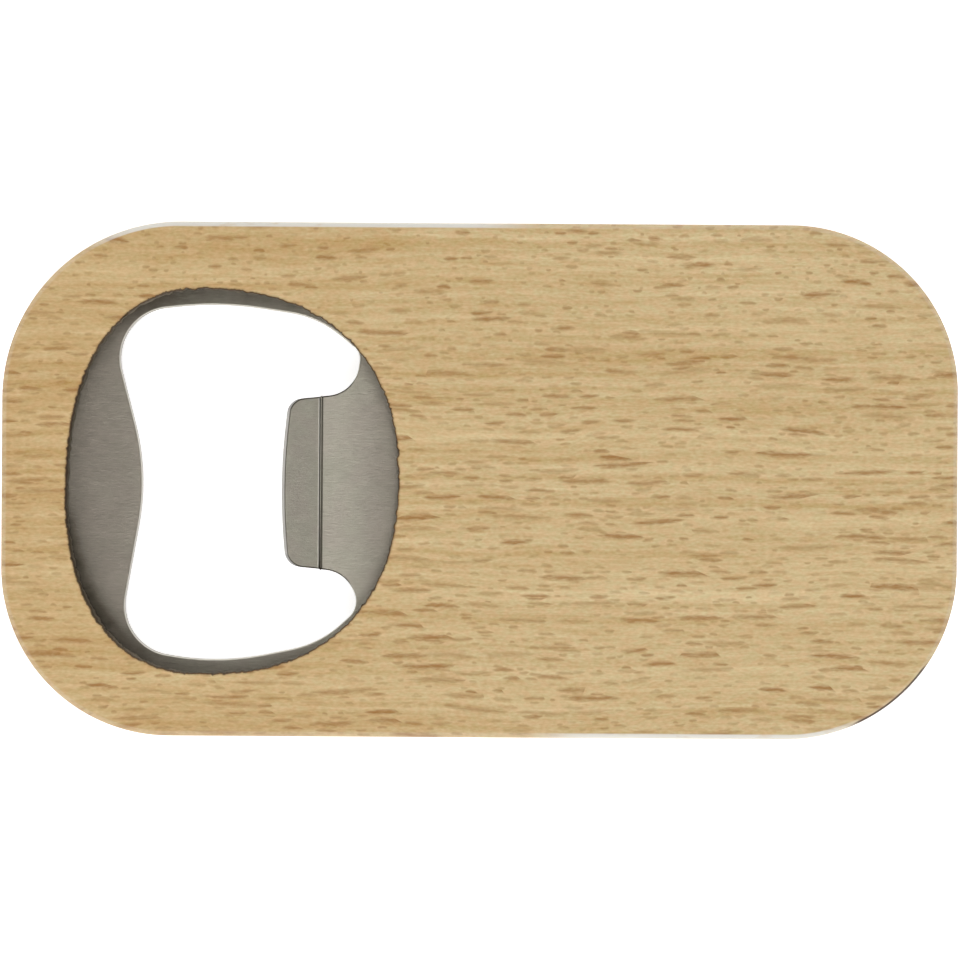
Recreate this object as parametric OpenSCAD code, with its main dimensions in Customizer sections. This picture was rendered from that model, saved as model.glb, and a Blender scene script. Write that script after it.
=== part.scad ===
// Pocket bottle opener: a stainless plate held between two beech panels.
//
// The board is a sandwich. A front panel and a back panel, each with the same egg-shaped window,
// are glued either side of a core frame, and the opener plate is nested in the core frame's pocket.
// The panels overlap the plate's rim all round, so the plate can't be levered out.
//
// Origin: middle of the underside. X runs from the opener end (-X) to the plain end (+X),
// Y runs across the board, and +Z points out of the front face.

/* [Board] */
// Length of the board, opener end to plain end
board_length = 100; // [96:0.5:120]
// Width of the board
board_width = 53.8; // [52:0.1:60]
// Corner radius, opener end, +Y side
opener_corner_upper = 18.6; // [17:0.1:22]
// Corner radius, opener end, -Y side
opener_corner_lower = 17.6; // [17:0.1:22]
// Corner radius, plain end, +Y side
plain_corner_upper = 17.5; // [5:0.1:22]
// Corner radius, plain end, -Y side
plain_corner_lower = 17.9; // [5:0.1:22]

/* [Layers] */
// Thickness of the front and of the back panel
panel_thickness = 2.9; // [2:0.1:5]
// Thickness of the opener plate, which is also the core frame's
plate_thickness = 2; // [1.5:0.1:3]
// Thickness of each film of glue
film_thickness = 0.1; // [0.05:0.05:0.3]
// How far the glue stays back from the board's edge
film_setback = 0.05; // [0:0.05:0.5]
// How far the glue stays back from the window's edge
film_window_setback = 0.2; // [0.05:0.05:0.5]

/* [Window] */
// Place of the window's widest line, from the board's middle
window_x = -28.9; // [-30:0.1:-28]
// Place of the window's middle across the board
window_y = -0.25; // [-0.5:0.05:0.5]
// Reach of the window towards the opener end
window_reach_tip = 14.3; // [13.5:0.1:15]
// Reach of the window towards the plain end
window_reach_tail = 20.4; // [20:0.1:22]
// Half of the window's height across the board
window_half_height = 20.1; // [19.5:0.1:21]
// Fullness of the window's curve: 2 is an ellipse, larger is squarer
window_fullness = 2.3; // [2.1:0.05:2.6]
// How far the egg's long axis leans, in degrees
window_lean = -1.6; // [-3:0.1:3]

/* [Opener plate] */
// How far the plate's edge runs from the board's tip, top and bottom edges
plate_margin = 3.4; // [2.5:0.1:3.6]
// Length of the plate
plate_length = 48; // [44:0.5:60]
// Corner radius of the plate at the opener end
plate_tip_corner = 14.6; // [12:0.1:18]
// Corner radius of the plate at its hidden end
plate_tail_corner = 6; // [2:0.5:12]
// Gap between the plate and its pocket in the core frame
pocket_gap = 0.1; // [0.05:0.05:0.3]

/* [Lip] */
// Place of the crease that the lip is bent along
crease_x = -16.6; // [-17.5:0.1:-16]
// Angle that the lip is bent up from the plate, in degrees
lip_bend = 12; // [0:1:20]
// Width of the groove pressed along the crease
groove_width = 0.3; // [0.1:0.05:0.6]
// Depth of the groove pressed along the crease
groove_depth = 0.15; // [0.05:0.05:0.4]

/* [Hidden] */

// Largest gap between a drawn arc and the true one
arc_error = 0.004;
// Points round the window
window_points = 144;
// Overshoot of a cutting shape, so that it clears the faces it cuts
clear = 1;

back_film_z = panel_thickness;
core_z = back_film_z + film_thickness;
front_film_z = core_z + plate_thickness;
front_panel_z = front_film_z + film_thickness;

beech = [0.79, 0.69, 0.53];
beech_core = [0.76, 0.64, 0.47];
stainless = [0.58, 0.56, 0.52];
glue = [0.72, 0.58, 0.36];

// The opening that takes the bottle cap, as corners of a polygon: [x, y, radius of the corner].
// Going round clockwise from the fulcrum, with the two lobes either side of the tongue.
cutout_corners = [
    [-34.9, 0.5, 25],     // fulcrum, bulging towards the lip
    [-39.3, 17.3, 5.4],   // upper lobe, at the opener end
    [-27.4, 18.6, 34],    // upper lobe, crown of its back
    [-17.2, 17.1, 11],    // upper lobe, shoulder
    [-12.6, 13.4, 1.6],   // upper lobe, nose
    [-13.1, 9.1, 3.5],    // upper lobe, root of the tongue
    [-20.3, 8.4, 1.7],    // tongue, upper corner of the lip
    [-21.3, -0.6, 64],    // tongue, slightly bowed tip of the lip
    [-20.5, -9.1, 1.8],   // tongue, lower corner of the lip
    [-14.2, -9.7, 3.5],   // lower lobe, root of the tongue
    [-12.4, -13.3, 2.3],  // lower lobe, nose
    [-16.8, -17.3, 11],   // lower lobe, shoulder
    [-27.5, -19.5, 27],   // lower lobe, crown of its back
    [-38.1, -17.6, 5.3]   // lower lobe, at the opener end
];
// Half of a width that takes in the whole tongue and nothing else
tongue_half_width = 9.6;
// Length of a block that takes in the whole lip
lip_block = 7;

function unit(v) = v / norm(v);
function turned(v, angle) = [v.x * cos(angle) - v.y * sin(angle), v.x * sin(angle) + v.y * cos(angle)];
function place(corner) = [corner.x, corner.y];

// The arc that rounds the corner at here, between the sides towards before and after.
function corner_arc(before, here, after, radius) =
    let (
        to_before = unit(before - here),
        to_after = unit(after - here),
        half = acos(to_before * to_after) / 2,
        centre = here + unit(to_before + to_after) * radius / sin(half),
        start = here + to_before * radius / tan(half) - centre,
        side = sign(cross(to_after, to_before)),
        sweep = side * (180 - 2 * half),
        steps = max(1, ceil(abs(sweep) / (2 * acos(1 - arc_error / radius))))
    )
    [for (i = [0:steps]) centre + turned(start, sweep * i / steps)];

// A polygon with every corner rounded to its own radius.
function rounded(corners) =
    let (count = len(corners))
    [for (i = [0:count - 1])
        each corner_arc(
            place(corners[(i + count - 1) % count]),
            place(corners[i]),
            place(corners[(i + 1) % count]),
            corners[i].z
        )
    ];

// A superellipse with its own reach on each side, grown outwards by grow.
function egg(grow = 0) = [
    for (i = [0:window_points - 1])
        let (
            angle = 360 * i / window_points,
            reach = (cos(angle) < 0 ? window_reach_tip : window_reach_tail) + grow,
            along = sign(cos(angle)) * pow(abs(cos(angle)), 2 / window_fullness),
            across = sign(sin(angle)) * pow(abs(sin(angle)), 2 / window_fullness)
        )
        [reach * along, (window_half_height + grow) * across]
];

module board_outline(inset = 0) {
    tip = -board_length / 2 + inset;
    tail = board_length / 2 - inset;
    side = board_width / 2 - inset;
    polygon(rounded([
        [tip, side, opener_corner_upper - inset],
        [tail, side, plain_corner_upper - inset],
        [tail, -side, plain_corner_lower - inset],
        [tip, -side, opener_corner_lower - inset]
    ]));
}

module window_outline(grow = 0) {
    translate([window_x, window_y])
        rotate(window_lean)
            polygon(egg(grow));
}

module plate_outline(grow = 0) {
    tip = -board_length / 2 + plate_margin - grow;
    tail = -board_length / 2 + plate_margin + plate_length + grow;
    side = board_width / 2 - plate_margin + grow;
    polygon(rounded([
        [tip, side, plate_tip_corner + grow],
        [tail, side, plate_tail_corner + grow],
        [tail, -side, plate_tail_corner + grow],
        [tip, -side, plate_tip_corner + grow]
    ]));
}

module plate_flat() {
    difference() {
        plate_outline();
        polygon(rounded(cutout_corners));
    }
}

module panel() {
    linear_extrude(panel_thickness)
        difference() {
            board_outline();
            window_outline();
        }
}

module glue_film() {
    linear_extrude(film_thickness)
        difference() {
            board_outline(film_setback);
            window_outline(film_window_setback);
        }
}

// The lip hinges about the line under its crease, so its top face meets the plate's in the crease.
module lip_hinge_frame() {
    translate([crease_x - plate_thickness * tan(lip_bend / 2), 0, 0])
        children();
}

module lip_block_outline() {
    translate([-lip_block, -tongue_half_width])
        square([lip_block, 2 * tongue_half_width]);
}

module lip() {
    hinge_x = crease_x - plate_thickness * tan(lip_bend / 2);
    lip_hinge_frame()
        rotate([0, lip_bend, 0])
            linear_extrude(plate_thickness)
                intersection() {
                    translate([-hinge_x, 0])
                        plate_flat();
                    lip_block_outline();
                }
}

module crease_groove() {
    translate([crease_x, tongue_half_width, plate_thickness])
        rotate([90, 0, 0])
            linear_extrude(2 * tongue_half_width)
                polygon([
                    [-groove_width / 2 - clear * tan(lip_bend), clear],
                    [-groove_width / 2, 0],
                    [0, -groove_depth],
                    [groove_width / 2, 0],
                    [groove_width / 2, clear]
                ]);
}

module front_panel() {
    color(beech)
        translate([0, 0, front_panel_z])
            panel();
}

module back_panel() {
    color(beech)
        panel();
}

module core_frame() {
    color(beech_core)
        translate([0, 0, core_z])
            linear_extrude(plate_thickness)
                difference() {
                    board_outline();
                    plate_outline(pocket_gap);
                }
}

module opener_plate() {
    color(stainless)
        translate([0, 0, core_z])
            difference() {
                union() {
                    linear_extrude(plate_thickness)
                        difference() {
                            plate_flat();
                            lip_hinge_frame()
                                lip_block_outline();
                        }
                    lip();
                }
                crease_groove();
            }
}

module front_glue_film() {
    color(glue)
        translate([0, 0, front_film_z])
            glue_film();
}

module back_glue_film() {
    color(glue)
        translate([0, 0, back_film_z])
            glue_film();
}

front_panel();
core_frame();
back_panel();
opener_plate();
front_glue_film();
back_glue_film();
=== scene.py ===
# %% [markdown]
# # Pocket bottle opener: beech board and stainless plate
# The opener is a thin sandwich. Two beech panels are glued to a beech core frame, and a stainless plate
# is trapped between them. The plate shows through an egg-shaped window that a laser has cut and toasted.
#
# The CAD model already has every size and place. This file takes its meshes as a fixed frame and adds
# what a buyer sees and feels: eased edges, a charred and slightly ragged window, brushed steel with
# rounded punched edges, and the grain of the beech.

# %% Load the CAD frame
import math

import bmesh
import bpy
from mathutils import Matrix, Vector, noise
from mathutils.kdtree import KDTree


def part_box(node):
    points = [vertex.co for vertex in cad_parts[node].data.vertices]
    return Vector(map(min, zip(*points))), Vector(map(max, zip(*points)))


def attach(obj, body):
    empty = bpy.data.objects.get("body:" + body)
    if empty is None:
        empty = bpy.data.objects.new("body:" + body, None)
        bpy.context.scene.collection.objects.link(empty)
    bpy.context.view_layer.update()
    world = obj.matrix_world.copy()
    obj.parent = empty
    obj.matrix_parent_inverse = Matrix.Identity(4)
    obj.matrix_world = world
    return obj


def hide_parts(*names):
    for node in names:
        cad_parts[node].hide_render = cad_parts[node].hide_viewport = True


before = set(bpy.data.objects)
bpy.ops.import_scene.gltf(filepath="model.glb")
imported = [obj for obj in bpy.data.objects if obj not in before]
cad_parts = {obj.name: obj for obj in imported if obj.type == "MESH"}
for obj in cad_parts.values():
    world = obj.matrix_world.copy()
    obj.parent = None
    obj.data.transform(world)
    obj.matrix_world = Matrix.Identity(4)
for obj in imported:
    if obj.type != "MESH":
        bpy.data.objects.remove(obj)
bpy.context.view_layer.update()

MM = 0.001

# %% [markdown]
# ## The camera
# The opener is seen straight from above its front face, and it fills the picture from edge to edge.
# A long lens is used, because a short one would show the walls of the board. The camera is set from the
# board's box, so it follows the board if its size changes. It is turned and shifted by a hair, because an
# object that is put down by hand never lies quite square.

# %% Camera
board_low, board_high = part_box("front_panel")
CAMERA_PLACE = (0.05 * MM, 0.04 * MM)
CAMERA_HEIGHT = 450 * MM
CAMERA_TURN = math.radians(0.36)
# The picture is a hair wider than the board.
PICTURE_WIDTH = 1.00315 * (board_high.x - board_low.x)
SENSOR_WIDTH = 36

bpy.ops.object.camera_add(
    location=(*CAMERA_PLACE, board_high.z + CAMERA_HEIGHT),
    rotation=(0, 0, CAMERA_TURN),
)
camera = bpy.context.object
camera.name = "camera_above"
camera.data.sensor_width = SENSOR_WIDTH
camera.data.lens = SENSOR_WIDTH * CAMERA_HEIGHT / PICTURE_WIDTH
camera.data.clip_start = 10 * MM
camera.data.clip_end = 10
bpy.context.scene.camera = camera
print("lens, mm:", round(camera.data.lens, 1))

# %% [markdown]
# ## Shader sums written as sums
# A procedural finish is mostly arithmetic on masks. In the node editor each sum is a Math node with two
# wires, which soon gets hard to read. Here a small class wraps a socket, so that `1 - mask * 0.5`
# adds the nodes by itself. Its step method turns any value into a soft mask between two limits, which is
# what most of the finishes below are built from.

# %% Sums of sockets
class Wire:
    """A socket that Python's operators turn into Math nodes."""

    def __init__(self, finish, socket):
        self.finish = finish
        self.socket = socket

    def __add__(self, other):
        return self.finish.math("ADD", self, other)

    def __mul__(self, other):
        return self.finish.math("MULTIPLY", self, other)

    def __sub__(self, other):
        return self.finish.math("SUBTRACT", self, other)

    def __rsub__(self, other):
        return self.finish.math("SUBTRACT", other, self)

    def __truediv__(self, other):
        return self.finish.math("DIVIDE", self, other)

    __radd__ = __add__
    __rmul__ = __mul__

    def output(self, number):
        """Another output of the node that this socket belongs to."""
        return Wire(self.finish, self.socket.node.outputs[number])

    def step(self, low, high):
        """0 below low and 1 above high, with a smooth rise. With low above high it falls instead."""
        return self.finish.node(
            "ShaderNodeMapRange",
            {"interpolation_type": "SMOOTHSTEP"},
            {"Value": self, "From Min": low, "From Max": high},
        )


print("a Wire can", [name for name in vars(Wire) if callable(getattr(Wire, name))])

# %% [markdown]
# ## One method for every other node
# Every other node comes from one method. It sets the node's options first and then its sockets, because
# an option such as a Mix node's data type changes which sockets are used.
#
# A finish reads its place on the object in millimetres from the board's origin. The pattern could follow
# the camera or a fitted image instead, but then it would slide when the view changes. Read this way, it
# is part of the object, as grain is part of wood.

# %% Node trees
class Finish:
    """The node tree of a material, or of the sky, built node by node."""

    def __init__(self, owner):
        self.owner = owner
        owner.use_nodes = True
        self.tree = owner.node_tree
        self.tree.nodes.clear()

    def node(self, kind, settings=None, inputs=None, output=0):
        made = self.tree.nodes.new(kind)
        for option, value in (settings or {}).items():
            setattr(made, option, value)
        for name, value in (inputs or {}).items():
            if isinstance(value, Wire):
                self.tree.links.new(value.socket, made.inputs[name])
            else:
                made.inputs[name].default_value = value
        return Wire(self, made.outputs[output] if made.outputs else None)

    def math(self, operation, *values):
        return self.node("ShaderNodeMath", {"operation": operation}, dict(enumerate(values)))

    def size(self, value):
        """The value without its sign."""
        return self.math("ABSOLUTE", value)

    def join(self, x, y, z):
        return self.node("ShaderNodeCombineXYZ", inputs={"X": x, "Y": y, "Z": z})

    def blend(self, share, under, over, mode="MIX"):
        """Lays one colour over another by share."""
        options = {"data_type": "RGBA", "blend_type": mode}
        return self.node("ShaderNodeMix", options, {0: share, 6: under, 7: over}, output=2)

    def cloud(self, place, detail=2.0, roughness=0.5):
        """Soft noise around 0.5."""
        sockets = {"Vector": place, "Scale": 1.0, "Detail": detail, "Roughness": roughness}
        return self.node("ShaderNodeTexNoise", inputs=sockets)

    def place_mm(self):
        """X, Y and Z of the point being shaded, in millimetres from the board's origin."""
        where = self.node("ShaderNodeTexCoord", output=3)
        scaled = self.node("ShaderNodeMapping", inputs={"Vector": where, "Scale": (1 / MM,) * 3})
        split = self.node("ShaderNodeSeparateXYZ", inputs={"Vector": scaled})
        return split, split.output(1), split.output(2)

    def facing(self):
        """X, Y and Z of the surface's own direction, which is 1 along the axis that it faces."""
        normal = self.node("ShaderNodeNewGeometry", output=1)
        split = self.node("ShaderNodeSeparateXYZ", inputs={"Vector": normal})
        return split, split.output(1), split.output(2)

    def bump(self, height, depth_mm):
        sockets = {"Height": height, "Distance": depth_mm * MM, "Strength": 1.0}
        return self.node("ShaderNodeBump", inputs=sockets)

    def shade(self, **sockets):
        """Ends the tree in a Principled shader. A name such as base_color is the socket Base Color."""
        inputs = {name.replace("_", " ").title(): value for name, value in sockets.items()}
        shader = self.node("ShaderNodeBsdfPrincipled", inputs=inputs)
        self.node("ShaderNodeOutputMaterial", inputs={"Surface": shader})
        return self.owner


def new_finish(name):
    return Finish(bpy.data.materials.new(name))


print("a Finish can add", [name for name in vars(Finish) if not name.startswith("_")])

# %% [markdown]
# ## Colours
# A paint chart gives a colour as three levels from 0 to 255, spaced as the eye sees them. A shader needs
# the light itself, in which a mid grey is about a fifth of white.

# %% Paint tones
def tone(red, green, blue):
    """A colour as a paint chart gives it, 0 to 255, as the linear colour that a shader needs."""

    def linear(level):
        share = level / 255
        return share / 12.92 if share <= 0.04045 else ((share + 0.055) / 1.055) ** 2.4

    return linear(red), linear(green), linear(blue), 1.0


print("a mid grey is", [round(c, 3) for c in tone(128, 128, 128)])

# %% [markdown]
# ## Beech
# Beech is pale tan with a faint pink cast. What makes it beech are its rays: ribbons of cells that run
# into the board, and show on the face as short brown lens-shaped flecks along the grain. They could be
# modelled or painted, but a Voronoi texture does it in a few nodes: one cell holds one fleck, and the
# cell's own random colour says how long, dark and tilted it is, or leaves it out. The fleck itself is a
# sum: it keeps its height along most of its length and ends softly, it bows a little to one side, and a
# fine noise frays its edge.
#
# Cells lie in rows and columns that the eye soon finds. Each row is therefore shifted by a part of a cell,
# and the shift is taken out again before the fleck is drawn.
#
# The cells are flat, so a fleck runs straight through the board, as the ribbon does. The long sides of
# the board show the ribbons side on, as faint upright bars.

# %% Ray flecks
BEECH_FLECK = tone(165, 108, 38)
ROW_SHIFT = 0.382


def flecks(finish, along, across, cell, length, height, share, frayed, seed):
    """One layer of ray flecks, 0 to 1. cell, length and height are in mm."""
    cell_length, cell_height = cell
    row = across / cell_height
    place = finish.join(along / cell_length + row * ROW_SHIFT + seed, row + seed, 0.0)
    cells = finish.node(
        "ShaderNodeTexVoronoi",
        {"voronoi_dimensions": "2D"},
        {"Vector": place, "Scale": 1.0, "Randomness": 0.95},
    )
    away = finish.node(
        "ShaderNodeVectorMath", {"operation": "SUBTRACT"}, {0: place, 1: cells.output(2)}
    )
    gap = finish.node("ShaderNodeSeparateXYZ", inputs={"Vector": away})
    luck = finish.node("ShaderNodeSeparateColor", inputs={"Color": cells.output(1)})
    scale = luck.output(1) * 0.65 + 0.35
    tilt = (luck.output(2) - 0.5) * 0.12
    run = (gap - gap.output(1) * ROW_SHIFT) * cell_length
    reach = run / (scale * length)
    spread = reach * reach
    rise = gap.output(1) * cell_height - run * tilt - spread * tilt * 1.5
    lens = 1 - spread * spread - finish.size(rise) / (scale * 0.4 + 0.6) / height + frayed
    strength = (luck - (1 - share)) / share
    return lens.step(-0.8, 1.15) * strength.step(0.0, 0.02) * (strength * 0.68 + 0.38)


print("each row of flecks is shifted by", ROW_SHIFT, "of a cell")

# %% [markdown]
# ## The ground between the flecks
# Several noises do it, most of them stretched along the grain. Broad bands, strands, fine fibres and
# specks say how light the wood is, and small patches drift between khaki and pink. One more noise crowds
# the flecks in some places and thins them in others.
#
# Three layers of flecks, from long to short, are laid over the ground. They are shorter near the +Y edge,
# where the board was cut more steeply across the rays.

# %% Beech grain
FLECKS_SHORTEN_MM = (9.0, 23.0)


def grain(finish, offset):
    """The masks that every beech finish is mixed from."""
    x, y, z = finish.place_mm()
    along, across, depth = x + offset[0] + z * 0.3, y + offset[1], z + offset[2]
    sway = finish.cloud(finish.join(along * 0.05, across * 0.12, depth * 0.1), 2.0) - 0.5
    wavy = across + sway * 1.6

    def noise_along(along_scale, across_scale, depth_scale, detail=3.0, roughness=0.6):
        """Noise with its own scale along the grain, across it and through the board, per mm."""
        place = finish.join(along * along_scale, wavy * across_scale, depth * depth_scale)
        return finish.cloud(place, detail, roughness)

    strands = noise_along(0.02, 1.0, 0.6, roughness=0.5)
    fibre = noise_along(0.18, 1.9, 2.0)
    shred = noise_along(0.9, 3.6, 4.0)
    bands = noise_along(0.012, 0.3, 0.1)
    patches = noise_along(0.7, 1.3, 0.5)
    crowd = noise_along(0.06, 0.55, 0.1, detail=2.0, roughness=0.5)
    speck = noise_along(1.8, 4.5, 4.0, detail=2.0, roughness=0.5)
    frayed = (shred - 0.5) * 2.0
    steep = 1 - y.step(*FLECKS_SHORTEN_MM) * 0.42
    busy = crowd.step(0.25, 0.75) * 0.3 + 0.3
    # Long, middle and short flecks. Between a third and two thirds of the cells hold one.
    rays = [
        flecks(finish, along, wavy, (6.4, 1.4), steep * 3.3, 0.29, busy * 1.05, frayed, seed=3.7),
        flecks(finish, along, wavy, (3.4, 0.95), steep * 1.4, 0.22, busy, frayed, seed=11.3),
        flecks(finish, along, wavy, (2.0, 0.7), steep * 0.75, 0.17, busy * 1.05, frayed, seed=23.1),
    ]
    return {
        "x": x, "y": y, "z": z, "rays": rays, "patches": patches,
        "strands": strands, "fibre": fibre, "shred": shred, "speck": speck, "bands": bands,
    }


print("the flecks shorten from y =", FLECKS_SHORTEN_MM[0], "mm to y =", FLECKS_SHORTEN_MM[1], "mm")

# %% [markdown]
# ## From masks to the colour of beech
# The noises are added up to one lightness, and the ground is multiplied by it. Then the flecks are laid
# over it, each darkest where a fine noise says so, which makes them streaky as the real ones are.

# %% Beech colour
BEECH_KHAKI = tone(211, 188, 136)
BEECH_PINK = tone(212, 178, 127)
BEECH_GOLD = tone(203, 164, 104)
DARKEST_FLECK = 0.85


def beech_colour(finish, g):
    ground = finish.blend(g["patches"].step(0.35, 0.65), BEECH_KHAKI, BEECH_PINK)
    golden = g["x"].step(10.0, -50.0) * 0.3 + g["bands"].step(0.4, 0.7) * 0.2
    ground = finish.blend(golden, ground, BEECH_GOLD)
    light = g["strands"] * 0.75 + g["fibre"] * 0.6 + g["speck"] * 0.6 + g["bands"] * 0.5
    light = light + g["patches"] * 0.3 - 0.295 + g["x"].step(-50.0, 40.0) * 0.07
    # The light fibres are paler as well as lighter, so blue rises more than red.
    tint = finish.join(light * 0.6 + 0.44, light, light * 1.7 - 0.76)
    lit = finish.blend(1.0, ground, tint, "MULTIPLY")
    big, middle, small = g["rays"]
    fleck = finish.math("MAXIMUM", big * 0.84, finish.math("MAXIMUM", middle * 0.7, small * 0.48))
    streaky = fleck * (0.55 + g["shred"] * 0.8)
    return finish.blend(finish.math("MINIMUM", streaky, DARKEST_FLECK), lit, BEECH_FLECK)


print("blue in the khaki and in the pink:", round(BEECH_KHAKI[2], 3), round(BEECH_PINK[2], 3))

# %% [markdown]
# ## What the sander leaves
# The board's outside edge was cut by laser too, and scorched. The sander took that off again, except for
# one dark crescent that it missed. The rounded corner gets a pale painted highlight. The mesh could be
# painted there, but the surface's own direction already tells the flat face, the rounded corner and the
# wall apart.

# %% Sanded edge
BEECH_TOAST = tone(146, 102, 60)
BEECH_PAINTED_HIGHLIGHT = tone(243, 241, 233)
BEECH_SCORCH = tone(80, 62, 46)
SCORCH_PLACE = (43.6, -23.2)
SCORCH_REACH = 5.5


def sanded_edge(finish, g, colour):
    face_x, _, face_z = finish.facing()
    # turned is 1 on a flat face, 0 on a wall, and between the two on the rounded corner.
    turned = finish.size(face_z)
    corner = turned.step(0.05, 0.35)
    arris = turned.step(0.995, 0.96) * corner
    brink = turned.step(0.75, 0.3)
    # The painted highlight is strongest on the far side at one end, and on the near side at the other.
    far = g["y"].step(23.5, 26.3) * g["x"].step(8.0, -2.0)
    near = g["y"].step(-24.5, -26.3) * g["x"].step(4.0, 12.0)
    wear = finish.cloud(finish.join(g["x"] * 0.25, g["y"] * 0.25, g["z"] * 1.5), 3.0, 0.6)
    # A pale painted highlight on the rounded corner.
    edge_highlight = arris * (0.12 + (far + near) * 0.78) * wear.step(0.15, 0.4)
    colour = finish.blend(edge_highlight, colour, BEECH_PAINTED_HIGHLIGHT)
    # Cut across its fibres the wood drinks in more light, so the ends are darker than the long sides.
    end_grain = finish.size(face_x).step(0.3, 1.0)
    browned = brink * (0.3 + wear.step(0.35, 0.75) * 0.3 + end_grain * 0.2) * (1 - edge_highlight)
    colour = finish.blend(browned, colour, BEECH_TOAST)
    spot_x = (g["x"] - SCORCH_PLACE[0]) / SCORCH_REACH
    spot_y = (g["y"] - SCORCH_PLACE[1]) / SCORCH_REACH
    missed = (spot_x * spot_x + spot_y * spot_y + (wear - 0.5)).step(1.0, 0.5)
    missed = missed * turned.step(0.88, 0.74) * (corner * 0.75 + 0.25)
    return finish.blend(missed, colour, BEECH_SCORCH)


print("the missed scorch is at", SCORCH_PLACE, "mm")

# %% [markdown]
# ## What the laser leaves
# The laser that cut the window charred its wall, and a narrow brown halo bleeds over the face. The mesh
# carries that as an attribute, char, because only the mesh knows how far a point is from the rim.
#
# The two panels and the core frame are cut from different places in the wood, so each finish reads the
# grain at its own offset.

# %% Beech finish
BEECH_CHAR = tone(84, 66, 42)
BEECH_ASH = tone(122, 112, 94)
BOARD_MIDDLE_MM = board_high.z / MM / 2


def beech(name, offset, char_layer=None):
    """Beech as it leaves the sander. char_layer names the mesh attribute that says how toasted it is."""
    finish = new_finish(name)
    g = grain(finish, offset)
    colour = sanded_edge(finish, g, beech_colour(finish, g))
    roughness = 0.62 - g["fibre"] * 0.12
    if char_layer:
        layer = finish.node("ShaderNodeAttribute", {"attribute_name": char_layer}, output=2)
        speckle = finish.cloud(finish.join(g["x"] * 5.0, g["y"] * 7.0, g["z"] * 0.6), 3.0, 0.65)
        browned = (layer + speckle * 0.3 - 0.15).step(0.05, 0.6)
        burnt = (layer + speckle * 0.6 - 0.3).step(0.35, 0.8)
        # The flame licks the faces, so the wall is blackest there and covered in grey ash further in.
        inside = BOARD_MIDDLE_MM - finish.size(g["z"] - BOARD_MIDDLE_MM)
        soot = finish.blend(inside.step(0.8, 1.8), BEECH_CHAR, BEECH_ASH)
        colour = finish.blend(browned * 0.75, colour, BEECH_TOAST)
        colour = finish.blend(burnt, colour, soot)
        roughness = roughness + burnt * 0.3
    relief = g["fibre"] * 0.6 + g["shred"] * 0.3 - g["rays"][0] * 0.4 - g["rays"][1] * 0.3
    return finish.shade(
        base_color=colour, roughness=roughness, normal=finish.bump(relief, 0.02)
    )


panel_front_finish = beech("beech_front", (0, 0, 0), "char")
panel_back_finish = beech("beech_back", (140, 60, 30), "char")
core_finish = beech("beech_core", (310, 25, 70))
print("beech finishes:", [m.name for m in (panel_front_finish, panel_back_finish, core_finish)])

# %% [markdown]
# ## The line of glue
# The two films of glue show only as hair-thin amber lines round the board's edge. They need no modelling,
# so the CAD nodes stay, and only their finish changes: dark amber, glossier than the wood, and cloudy.

# %% Glue
GLUE_AMBER = tone(132, 94, 52)
GLUE_PALE = tone(176, 138, 88)


def cured_glue(name):
    finish = new_finish(name)
    x, y, z = finish.place_mm()
    cloudy = finish.cloud(finish.join(x * 0.8, y * 0.8, z * 2), 3.0)
    colour = finish.blend(cloudy.step(0.3, 0.7), GLUE_AMBER, GLUE_PALE)
    return finish.shade(
        base_color=colour, roughness=0.35 + cloudy * 0.2, normal=finish.bump(cloudy, 0.03)
    )


glue_finish = cured_glue("cured_glue")
for film in ("front_glue_film", "back_glue_film"):
    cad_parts[film].data.materials[0] = glue_finish
    print(film, "is finished in", glue_finish.name)

# %% [markdown]
# ## Copies that can be worked on
# A CAD node's own mesh is never changed. To shape it further, it is copied, its loose triangles are
# welded and merged into flat faces, and the copy stands for the node.

# %% Working copies
WELD_GAP = 0.001 * MM
FLAT_ANGLE = math.radians(0.3)


def work_on(piece):
    bpy.ops.object.select_all(action="DESELECT")
    piece.select_set(True)
    bpy.context.view_layer.objects.active = piece


def working_copy(node, name):
    """A welded copy of a CAD node, with its flat faces merged."""
    piece = bpy.data.objects.new(name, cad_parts[node].data.copy())
    bpy.context.scene.collection.objects.link(piece)
    piece.data.name = name
    work_on(piece)
    bpy.ops.object.mode_set(mode="EDIT")
    bpy.ops.mesh.select_all(action="SELECT")
    bpy.ops.mesh.remove_doubles(threshold=WELD_GAP)
    bpy.ops.mesh.dissolve_limited(angle_limit=FLAT_ANGLE)
    bpy.ops.object.mode_set(mode="OBJECT")
    return piece


spare = working_copy("front_panel", "spare")
print("welded, the front panel has", len(spare.data.polygons), "faces")

# %% [markdown]
# ## Finding the rims
# With no mouse, edges are picked in code by where they are. A rim is a closed loop of edges where a flat
# face turns into a wall. The largest loop on a face is its outline and the smaller one is its window.
# The window's rim is measured here once, on a spare copy, before anything makes it ragged.

# %% Rims
SAME_HEIGHT = 0.01 * MM
RIM_ANGLE = math.radians(60)


def rims(piece, top):
    """The closed loops of edges between the flat top or bottom face and the walls, largest loop first."""
    mesh = bmesh.new()
    mesh.from_mesh(piece.data)
    height = max(v.co.z for v in mesh.verts) if top else min(v.co.z for v in mesh.verts)
    links = {}
    for edge in mesh.edges:
        if any(abs(v.co.z - height) > SAME_HEIGHT for v in edge.verts):
            continue
        if edge.calc_face_angle(0) > RIM_ANGLE:
            for one, other in (edge.verts, reversed(edge.verts)):
                links.setdefault(one.index, []).append(other.index)
    loops = []
    while links:
        start = min(links)
        loop, here = [start], start
        while True:
            ahead = [n for n in links[here] if n not in loop]
            if not ahead:
                break
            here = ahead[0]
            loop.append(here)
        for index in loop:
            links.pop(index)
        loops.append(loop)
    places = {v.index: v.co.copy() for v in mesh.verts}
    mesh.free()
    loops.sort(key=lambda loop: max(places[i].x for i in loop) - min(places[i].x for i in loop))
    return [[(i, places[i]) for i in loop] for loop in reversed(loops)]


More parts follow.
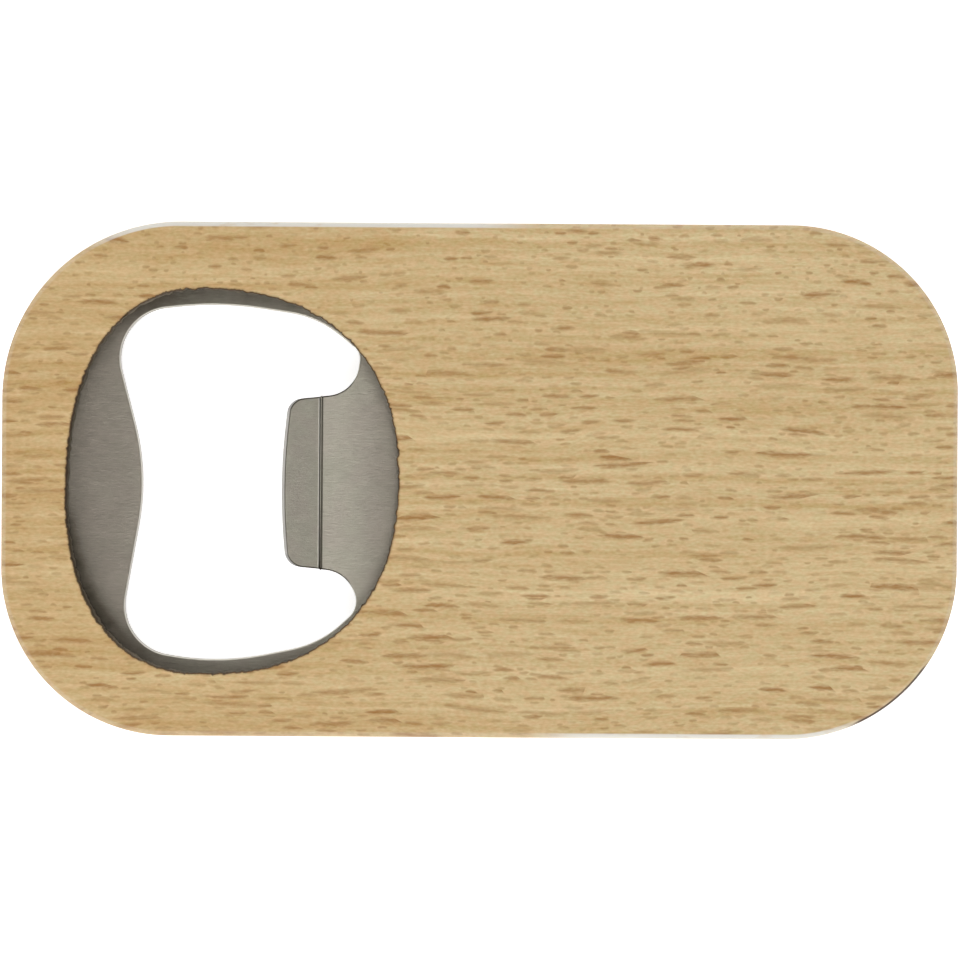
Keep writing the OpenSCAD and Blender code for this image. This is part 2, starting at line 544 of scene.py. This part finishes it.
window_rim = [place / MM for index, place in rims(spare, top=True)[-1]]
bpy.data.objects.remove(spare)
print("the window's rim has", len(window_rim), "points")

# %% [markdown]
# ## Selecting and shading
# Faces and edges are selected by a test on each. Smooth shading blends the direction of neighbouring
# faces, which would make a big flat face look dented beside its tiny rounded edge. A Weighted Normal
# modifier lets the big faces win, and it is applied so that the export keeps its result.

# %% Selecting and shading
WOOD_SMOOTH_ANGLE = 35
STEEL_SMOOTH_ANGLE = 40


def select_where(piece, kind, wanted):
    """Selects the vertices, edges or faces of a piece for which wanted is true."""
    bpy.ops.object.mode_set(mode="EDIT")
    bpy.ops.mesh.select_mode(type=kind)
    bpy.ops.mesh.select_all(action="DESELECT")
    mesh = bmesh.from_edit_mesh(piece.data)
    group = {"VERT": mesh.verts, "EDGE": mesh.edges, "FACE": mesh.faces}[kind]
    found = [part for part in group if wanted(part)]
    for part in found:
        part.select_set(True)
    mesh.select_flush_mode()
    bmesh.update_edit_mesh(piece.data)
    return len(found)


def smooth_but_flat(piece, degrees):
    """Smooth shading that leaves the big flat faces flat, however small the rounded edges beside them."""
    work_on(piece)
    bpy.ops.object.shade_smooth_by_angle(angle=math.radians(degrees))
    bpy.ops.object.modifier_add(type="WEIGHTED_NORMAL")
    piece.modifiers[-1].keep_sharp = True
    bpy.ops.object.modifier_apply(modifier=piece.modifiers[-1].name)


print("nodes that can be copied:", sorted(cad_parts))

# %% [markdown]
# ## The panels
# Three things make a cut blank into the real panel. The sander has rolled its outside corner over by a
# little more than half a millimetre, which a bevel does. The laser has left the window's wall ragged,
# where the fibres charred away unevenly. And the char bleeds a little way over the face.
#
# This cell makes the bevel and prepares the window: its wall is cut finely, and rings of faces are inset
# round its rim, so that both can follow when the rim is moved.

# %% Panel edges
ARRIS = 0.6 * MM
ARRIS_SEGMENTS = 5
WALL_CUTS = 5
RINGS_MM = (0.06, 0.1, 0.2, 0.5)


def ease_outside_corner(piece, top):
    outline = {index for index, place in rims(piece, top)[0]}

    def on_outline(edge):
        return all(v.index in outline for v in edge.verts) and edge.calc_face_angle(0) > 1

    count = select_where(piece, "EDGE", on_outline)
    bpy.ops.mesh.bevel(offset=ARRIS, segments=ARRIS_SEGMENTS, profile=0.5, clamp_overlap=False)
    bpy.ops.object.mode_set(mode="OBJECT")
    return count


def cut_window_wall(piece):
    """Cuts the window's wall into fine steps, along the rim and through the thickness."""
    window = {i for top in (True, False) for i, place in rims(piece, top)[-1]}
    select_where(piece, "FACE", lambda face: all(v.index in window for v in face.verts)
                 and abs(face.normal.z) < 0.5)
    bpy.ops.mesh.subdivide(number_cuts=WALL_CUTS)
    bpy.ops.object.mode_set(mode="OBJECT")


def inset_rings(piece, top):
    sign = 1 if top else -1
    for ring in RINGS_MM:
        # Only the big flat faces are inset: the rings already made have four corners each.
        select_where(piece, "FACE", lambda face: face.normal.z * sign > 0.999 and len(face.verts) > 4)
        bpy.ops.mesh.inset(thickness=ring * MM, use_even_offset=True)
        bpy.ops.object.mode_set(mode="OBJECT")


print("the rings reach", round(sum(RINGS_MM), 2), "mm from the window's rim")

# %% [markdown]
# ## The ragged window
# A bump texture can't change an outline, so the wall's points are moved in or out by noise. The rings
# move with the rim, less and less with distance. How charred each point is, which depends on the same
# distance, is stored on the mesh for the finish to read.

# %% Ragged window
RAGGED = 0.22 * MM
CHAR_REACH = 0.3 * MM


def rim_tree(piece, top):
    loop = rims(piece, top)[-1]
    tree = KDTree(len(loop))
    for index, place in loop:
        tree.insert(place.xy.to_3d(), index)
    tree.balance()
    return tree


def ragged_window(piece, seed):
    """Moves the window's wall in and out by noise, and stores how charred each point is."""
    trees = [rim_tree(piece, top) for top in (True, False)]
    low = min(v.co.z for v in piece.data.vertices)
    high = max(v.co.z for v in piece.data.vertices)
    window = [place for index, place in rims(piece, True)[-1]]
    middle = sum(window, Vector()) / len(window)
    reach = sum(RINGS_MM) * MM
    char = piece.data.attributes.new("char", "FLOAT", "POINT")
    for vertex in piece.data.vertices:
        top = vertex.co.z > (low + high) / 2
        rim_place, index, gap = trees[0 if top else 1].find(vertex.co.xy.to_3d())
        near = max(0.0, 1 - gap / reach)
        outward = (vertex.co - middle).xy.normalized().to_3d()
        # The noise is read at the rim, so that the rings beside it move with it and don't cross.
        spot = Vector((rim_place.x, rim_place.y, vertex.co.z * 0.15)) / MM
        coarse = noise.noise(spot * 0.35 + Vector((seed, 0, 0)))
        ragged = noise.noise(spot * 2.0 + Vector((0, seed, 0)))
        # The rim is more ragged in some places than in others, with a chip broken out here and there.
        chips = max(0.0, noise.noise(spot * 4.0 + Vector((0, 0, seed))) - 0.15)
        push = (0.35 + 0.65 * abs(coarse) * 2) * ragged + 1.3 * chips
        vertex.co += outward * push * RAGGED * near ** 2
        char.data[vertex.index].value = max(0.0, 1 - gap / CHAR_REACH) ** 1.5
    return len(window)


print("the noise that moves the rim is scaled by", round(RAGGED / MM, 2), "mm")

# %% [markdown]
# ## Both panels
# The two panels are the same but for the face that is seen. Each gets its own seed, because no two cuts
# char alike.

# %% Panels
def make_panel(node, name, finish, seed):
    piece = working_copy(node, name)
    cut_window_wall(piece)
    # Only the face that is seen is eased and ringed. The other face is glued to the core frame.
    top = node == "front_panel"
    ease_outside_corner(piece, top)
    inset_rings(piece, top)
    points = ragged_window(piece, seed)
    smooth_but_flat(piece, WOOD_SMOOTH_ANGLE)
    piece.data.materials.clear()
    piece.data.materials.append(finish)
    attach(piece, "root")
    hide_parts(node)
    print(name, "has", len(piece.data.polygons), "faces and", points, "points round its window")
    return piece


front_board = make_panel("front_panel", "front_board", panel_front_finish, 5.0)
back_board = make_panel("back_panel", "back_board", panel_back_finish, 17.0)

# %% [markdown]
# ## The core frame
# The core frame shows only as the middle layer of the board's edge. Its copy is welded, so that the
# rounded ends shade as one smooth curve and not as the flats of the CAD mesh.

# %% Core frame
core = working_copy("core_frame", "core")
smooth_but_flat(core, WOOD_SMOOTH_ANGLE)
core.data.materials.clear()
core.data.materials.append(core_finish)
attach(core, "root")
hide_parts("core_frame")
print("core has", len(core.data.polygons), "faces")

# %% [markdown]
# ## Brushed stainless
# The plate is brushed along the board's length. Each scratch is a tiny trough, so light spreads across
# the scratches and hardly along them. The shader's own anisotropy needs a tangent and is lost in many
# exports, so the scratches are made as very fine bump instead: noise that is stretched along X.
#
# Some light and shade is painted into the steel's colour. Both ends of the window are painted darker as
# shade, painted shade lies along the edge of the wood, the crease has a painted dark line with a painted
# highlight beside it, and the rolled edge of the opening gets a painted highlight. Each is a mask, and
# most of the masks
# are placed by what the meshes measure: the window's box and the crease.

# %% What the masks are placed by
def in_crease(point):
    """The bottom of the pressed line lies a little under the top face."""
    return plate_top - 0.3 * MM < point.z < plate_top - 0.05 * MM


window_low = Vector([min(p[axis] for p in window_rim) for axis in range(3)])
window_high = Vector([max(p[axis] for p in window_rim) for axis in range(3)])
window_middle = (window_low + window_high) / 2
window_half = (window_high - window_low) / 2
plate_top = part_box("front_glue_film")[0].z
crease = [v.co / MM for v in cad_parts["opener_plate"].data.vertices if in_crease(v.co)]
crease_x = sum(p.x for p in crease) / len(crease)
crease_y = (min(p.y for p in crease) + max(p.y for p in crease)) / 2
crease_half = max(p.y for p in crease) - crease_y
print("window:", [round(v, 1) for v in window_middle.xy], "half", [round(v, 1) for v in window_half.xy])
print("crease: x =", round(crease_x, 2), "mm, half its length is", round(crease_half, 2), "mm")

# %% [markdown]
# ## Painted shade on the steel
# The ground is mixed first: two steels that cloud into each other, painted darker at both ends of the
# window as shade, with the scratches as faint streaks and a little painted highlight beside the crease.
# The painted shade of the wood's wall comes next. The window is nearly a superellipse about the middle of
# its box, so one sum gives a value that is about 1 all along its rim, and the painted shade gathers where
# the value nears 1, most of all in one corner at the opener end.

# %% Steel ground and painted shade
STEEL = tone(176, 169, 156)
STEEL_TARNISHED = tone(174, 170, 155)
STEEL_PAINTED_SOFT_SHADE = tone(136, 128, 117)
WINDOW_FULLNESS = 2.3


def steel_ground(finish, x, y, z, scratches, smears):
    tarnish = finish.cloud(finish.join(x * 0.35, y * 0.35, z * 0.35), 2.0, 0.5)
    colour = finish.blend(tarnish.step(0.35, 0.65), STEEL, STEEL_TARNISHED)
    # Painted shade: both ends of the window are painted darker, the opener end most.
    end_shade = x.step(-22.0, -42.0) * 0.8 + x.step(-15.5, -8.5) * 0.6
    # A painted highlight on the steel just right of the crease.
    crease_sheen = x.step(-8.5, -14.0) * x.step(crease_x, crease_x + 0.2)
    colour = finish.blend(end_shade, colour, STEEL_PAINTED_SOFT_SHADE)
    streaks_and_sheen = 1.1 - scratches.step(0.25, 0.75) * 0.16 - smears * 0.2 + crease_sheen * 0.06
    return finish.blend(1.0, colour, finish.join(streaks_and_sheen, streaks_and_sheen, streaks_and_sheen), "MULTIPLY")


def painted_rim_shade(finish, x, y):
    """How much painted shade the plate gets, by how near it is to the window's rim."""
    out_x = (x - window_middle.x) / window_half.x
    out_y = (y - window_middle.y) / window_half.y
    power_sum = finish.math("POWER", finish.size(out_x), WINDOW_FULLNESS)
    power_sum = power_sum + finish.math("POWER", finish.size(out_y), WINDOW_FULLNESS)
    out = finish.math("POWER", power_sum, 1 / WINDOW_FULLNESS)
    near_end = x.step(window_middle.x, window_middle.x - 10)
    corner = near_end * out_y.step(-0.05, -0.3) * out_y.step(-0.98, -0.7)
    ends = out_y.step(0.75, 0.95) * 0.5 + out_y.step(-0.75, -0.95) * 0.3
    # Painted shade of the wood's wall: along the rim near the opener end, at both ends of the window's
    # height, and deepest in one corner.
    shaded = out.step(0.85, 1.03) * (near_end * 0.2 + corner * 0.12) + ends
    return shaded + out.step(0.93, 1.01) * corner * 0.5


print("red in clean and in worn steel:", round(STEEL[0], 2), round(STEEL_PAINTED_SOFT_SHADE[0], 2))

# %% [markdown]
# ## The crease, the edges and the whole finish
# The last marks are the sharpest, and all are painted light or shade: painted shade in the groove of the
# crease, a painted highlight beside it, painted shade on the punched sides of the tongue, and a painted
# highlight on the roll along the rest of the opening.

# %% Steel
# Painted shade, for the rim, the crease's groove and the tongue's sides.
STEEL_PAINTED_DEEP_SHADE = tone(60, 54, 43)
# Painted highlight, beside the crease and on the opening's rolled edge.
STEEL_PAINTED_HIGHLIGHT = tone(236, 232, 220)


def brushed_stainless(name):
    finish = new_finish(name)
    x, y, z = finish.place_mm()
    _, face_y, face_z = finish.facing()
    # level is 1 on a flat face, 0 on a wall, and between the two on a rolled edge.
    level = finish.size(face_z)
    top = (z - plate_top / MM).step(-0.5, -0.3)
    scratches = finish.cloud(finish.join(x * 0.8, y * 6.0, z * 6.0), 4.0, 0.75)
    hairlines = finish.cloud(finish.join(x * 1.2, y * 22.0, z * 22.0), 2.0, 0.6)
    smears = finish.cloud(finish.join(x * 0.5, y * 0.7, z * 0.5), 4.0, 0.6)
    colour = steel_ground(finish, x, y, z, scratches, smears)
    # Painted shade near the rim, where the wood's wall would shade the plate.
    rim_shade = painted_rim_shade(finish, x, y) * (0.75 + smears * 0.5) * top
    colour = finish.blend(rim_shade, colour, STEEL_PAINTED_DEEP_SHADE)

    along_crease = finish.size(y - crease_y).step(crease_half + 0.2, crease_half)
    # A painted highlight: a bright line beside the crease, where its flank would catch the light.
    crease_highlight = finish.size(x - crease_x + 0.27).step(0.16, 0.06) * along_crease * top
    # Painted shade: a dark line painted along the groove of the crease.
    groove = finish.size(x - crease_x - 0.02).step(0.13, 0.05) * along_crease * top
    tongue = finish.size(y - crease_y).step(crease_half + 2, crease_half + 1)
    tongue = tongue * x.step(window_middle.x + 2, window_middle.x + 3)
    # Painted shade on the punched sides and tip of the tongue, by which way the surface faces.
    tip_edge = level.step(0.97, 0.8) * 0.75
    punched = finish.math("MAXIMUM", finish.size(face_y).step(0.1, 0.3), tip_edge) * tongue
    # A painted highlight on the rolled edge of the opening, by how far the surface is tilted.
    roll_highlight = level.step(0.97, 0.8) * level.step(0.05, 0.35) * (1 - tongue)
    colour = finish.blend(finish.math("MAXIMUM", crease_highlight, roll_highlight) * 0.8, colour, STEEL_PAINTED_HIGHLIGHT)
    colour = finish.blend(groove * 0.75, colour, STEEL_PAINTED_DEEP_SHADE)
    colour = finish.blend(punched * 0.9, colour, STEEL_PAINTED_DEEP_SHADE)

    relief = (scratches * 0.6 + hairlines * 0.4) * level.step(0.75, 0.97)
    return finish.shade(
        base_color=colour,
        metallic=1.0,
        roughness=0.3 + smears * 0.06 + groove * 0.3,
        normal=finish.bump(relief, 0.06),
    )


steel_finish = brushed_stainless("brushed_stainless")
print(steel_finish.name, "has", len(steel_finish.node_tree.nodes), "nodes")

# %% [markdown]
# ## The opener plate
# A punched steel plate has a rolled edge: the sheet is pulled down a little before the punch breaks
# through. That roll is what draws a thin light or dark line round the opening, so it needs real
# geometry. The edges where a flat face meets the wall of the opening are beveled, on both faces.

# %% Opener plate
EDGE_ROLL = 0.18 * MM
ROLL_SEGMENTS = 4


def make_plate():
    piece = working_copy("opener_plate", "steel_plate")
    low_x, high_x = window_low.x * MM, window_high.x * MM
    high_y = max(-window_low.y, window_high.y) * MM

    def in_opening(edge):
        """True on the opening's edges, and on two short bits of the plate's hidden outline near them."""
        here = sum((v.co for v in edge.verts), Vector()) / 2
        if not (low_x < here.x < high_x + 1 * MM and abs(here.y) < high_y):
            return False
        walls = [face for face in edge.link_faces if abs(face.normal.z) < 0.3]
        return len(walls) == 1 and edge.calc_face_angle(0) > math.radians(50)

    count = select_where(piece, "EDGE", in_opening)
    bpy.ops.mesh.bevel(offset=EDGE_ROLL, segments=ROLL_SEGMENTS, profile=0.5, clamp_overlap=False)
    bpy.ops.object.mode_set(mode="OBJECT")
    smooth_but_flat(piece, STEEL_SMOOTH_ANGLE)
    piece.data.materials.clear()
    piece.data.materials.append(steel_finish)
    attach(piece, "root")
    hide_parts("opener_plate")
    print("steel_plate: rolled", count, "edges,", len(piece.data.polygons), "faces")
    return piece


plate = make_plate()

# %% [markdown]
# ## The floor
# A small product is shown on a pale table, where it leaves almost no shadow. The floor here is matt and
# glows a little, as a light table does, so that the opening shows as white as the ground round the board.
# It lies a hair below the board, so that no two faces share a place.

# %% Floor
FLOOR_WIDTH = 6
FLOOR_DROP = 0.02 * MM
FLOOR_GLOW = 0.75

bpy.ops.mesh.primitive_plane_add(size=FLOOR_WIDTH, location=(0, 0, -FLOOR_DROP))
floor = bpy.context.object
floor.name = "floor"
floor_finish = new_finish("pale_table")
floor_x, floor_y, floor_z = floor_finish.place_mm()
floor_cloud = floor_finish.cloud(floor_finish.join(floor_x * 0.05, floor_y * 0.05, 0.0), 3.0)
floor_level = 0.86 + floor_cloud * 0.04
floor.data.materials.append(
    floor_finish.shade(
        base_color=floor_finish.join(floor_level, floor_level, floor_level),
        roughness=0.9,
        emission_color=(1.0, 1.0, 1.0, 1.0),
        emission_strength=FLOOR_GLOW,
    )
)
print("the floor is", FLOOR_WIDTH, "m wide")

# %% [markdown]
# ## The sky
# The sky is a big soft light tent. Polished metal shows what stands above it, so the tent isn't even: one
# bright strip crosses its roof. The plate looks up at one edge of the strip, and so it goes from dark at
# the opener end to light at the crease. The lip is tilted, looks past the strip's other edge, and is
# dimmer again. The camera stands before the middle of the strip, which is why its middle is dimmer.

# %% Sky
# How bright the tent is: at its sides, at its roof, and in the strip across its roof.
TENT_SIDE = 0.6
TENT_DIM = 0.18
TENT_BRIGHT = 4.4

world = bpy.data.worlds.new("light_tent")
bpy.context.scene.world = world
tent = Finish(world)
towards = tent.node("ShaderNodeSeparateXYZ", inputs={"Vector": tent.node("ShaderNodeTexCoord")})
strip = towards.step(-0.1, 0.0) * (1 - towards.step(0.03, 0.26) * 0.97)
lens_gap = tent.size(towards.output(1)).step(0.08, 0.4) * 0.6 + 0.4
roof = TENT_DIM + strip * lens_gap * (TENT_BRIGHT - TENT_DIM)
overhead = towards.output(2).step(0.45, 0.8)
level = TENT_SIDE + overhead * (roof - TENT_SIDE)
glow = tent.node("ShaderNodeBackground", inputs={"Color": tent.join(level, level, level)})
tent.node("ShaderNodeOutputWorld", inputs={"Surface": glow})
print("the strip is", round(TENT_BRIGHT / TENT_SIDE, 1), "times as bright as the tent's sides")

# %% [markdown]
# ## The lamp
# One weak, wide lamp from the near side gives the wood a direction to be lit from. Anything stronger
# would throw a shadow on the floor.

# %% Lamp
def soft_box(name, place, size, power, aim=(0, 0, 0)):
    bpy.ops.object.light_add(type="AREA", location=place)
    lamp = bpy.context.object
    lamp.name = name
    lamp.data.size = size
    lamp.data.energy = power
    direction = Vector(aim) - Vector(place)
    lamp.rotation_euler = direction.to_track_quat("-Z", "Y").to_euler()
    return lamp


near_lamp = soft_box("soft_box_near", place=(-0.35, -0.45, 0.5), size=0.3, power=1.0)
bpy.context.scene.view_settings.view_transform = "Standard"
print(near_lamp.name, "is", round(near_lamp.data.size, 2), "m wide, at", near_lamp.data.energy, "W")

# %% [markdown]
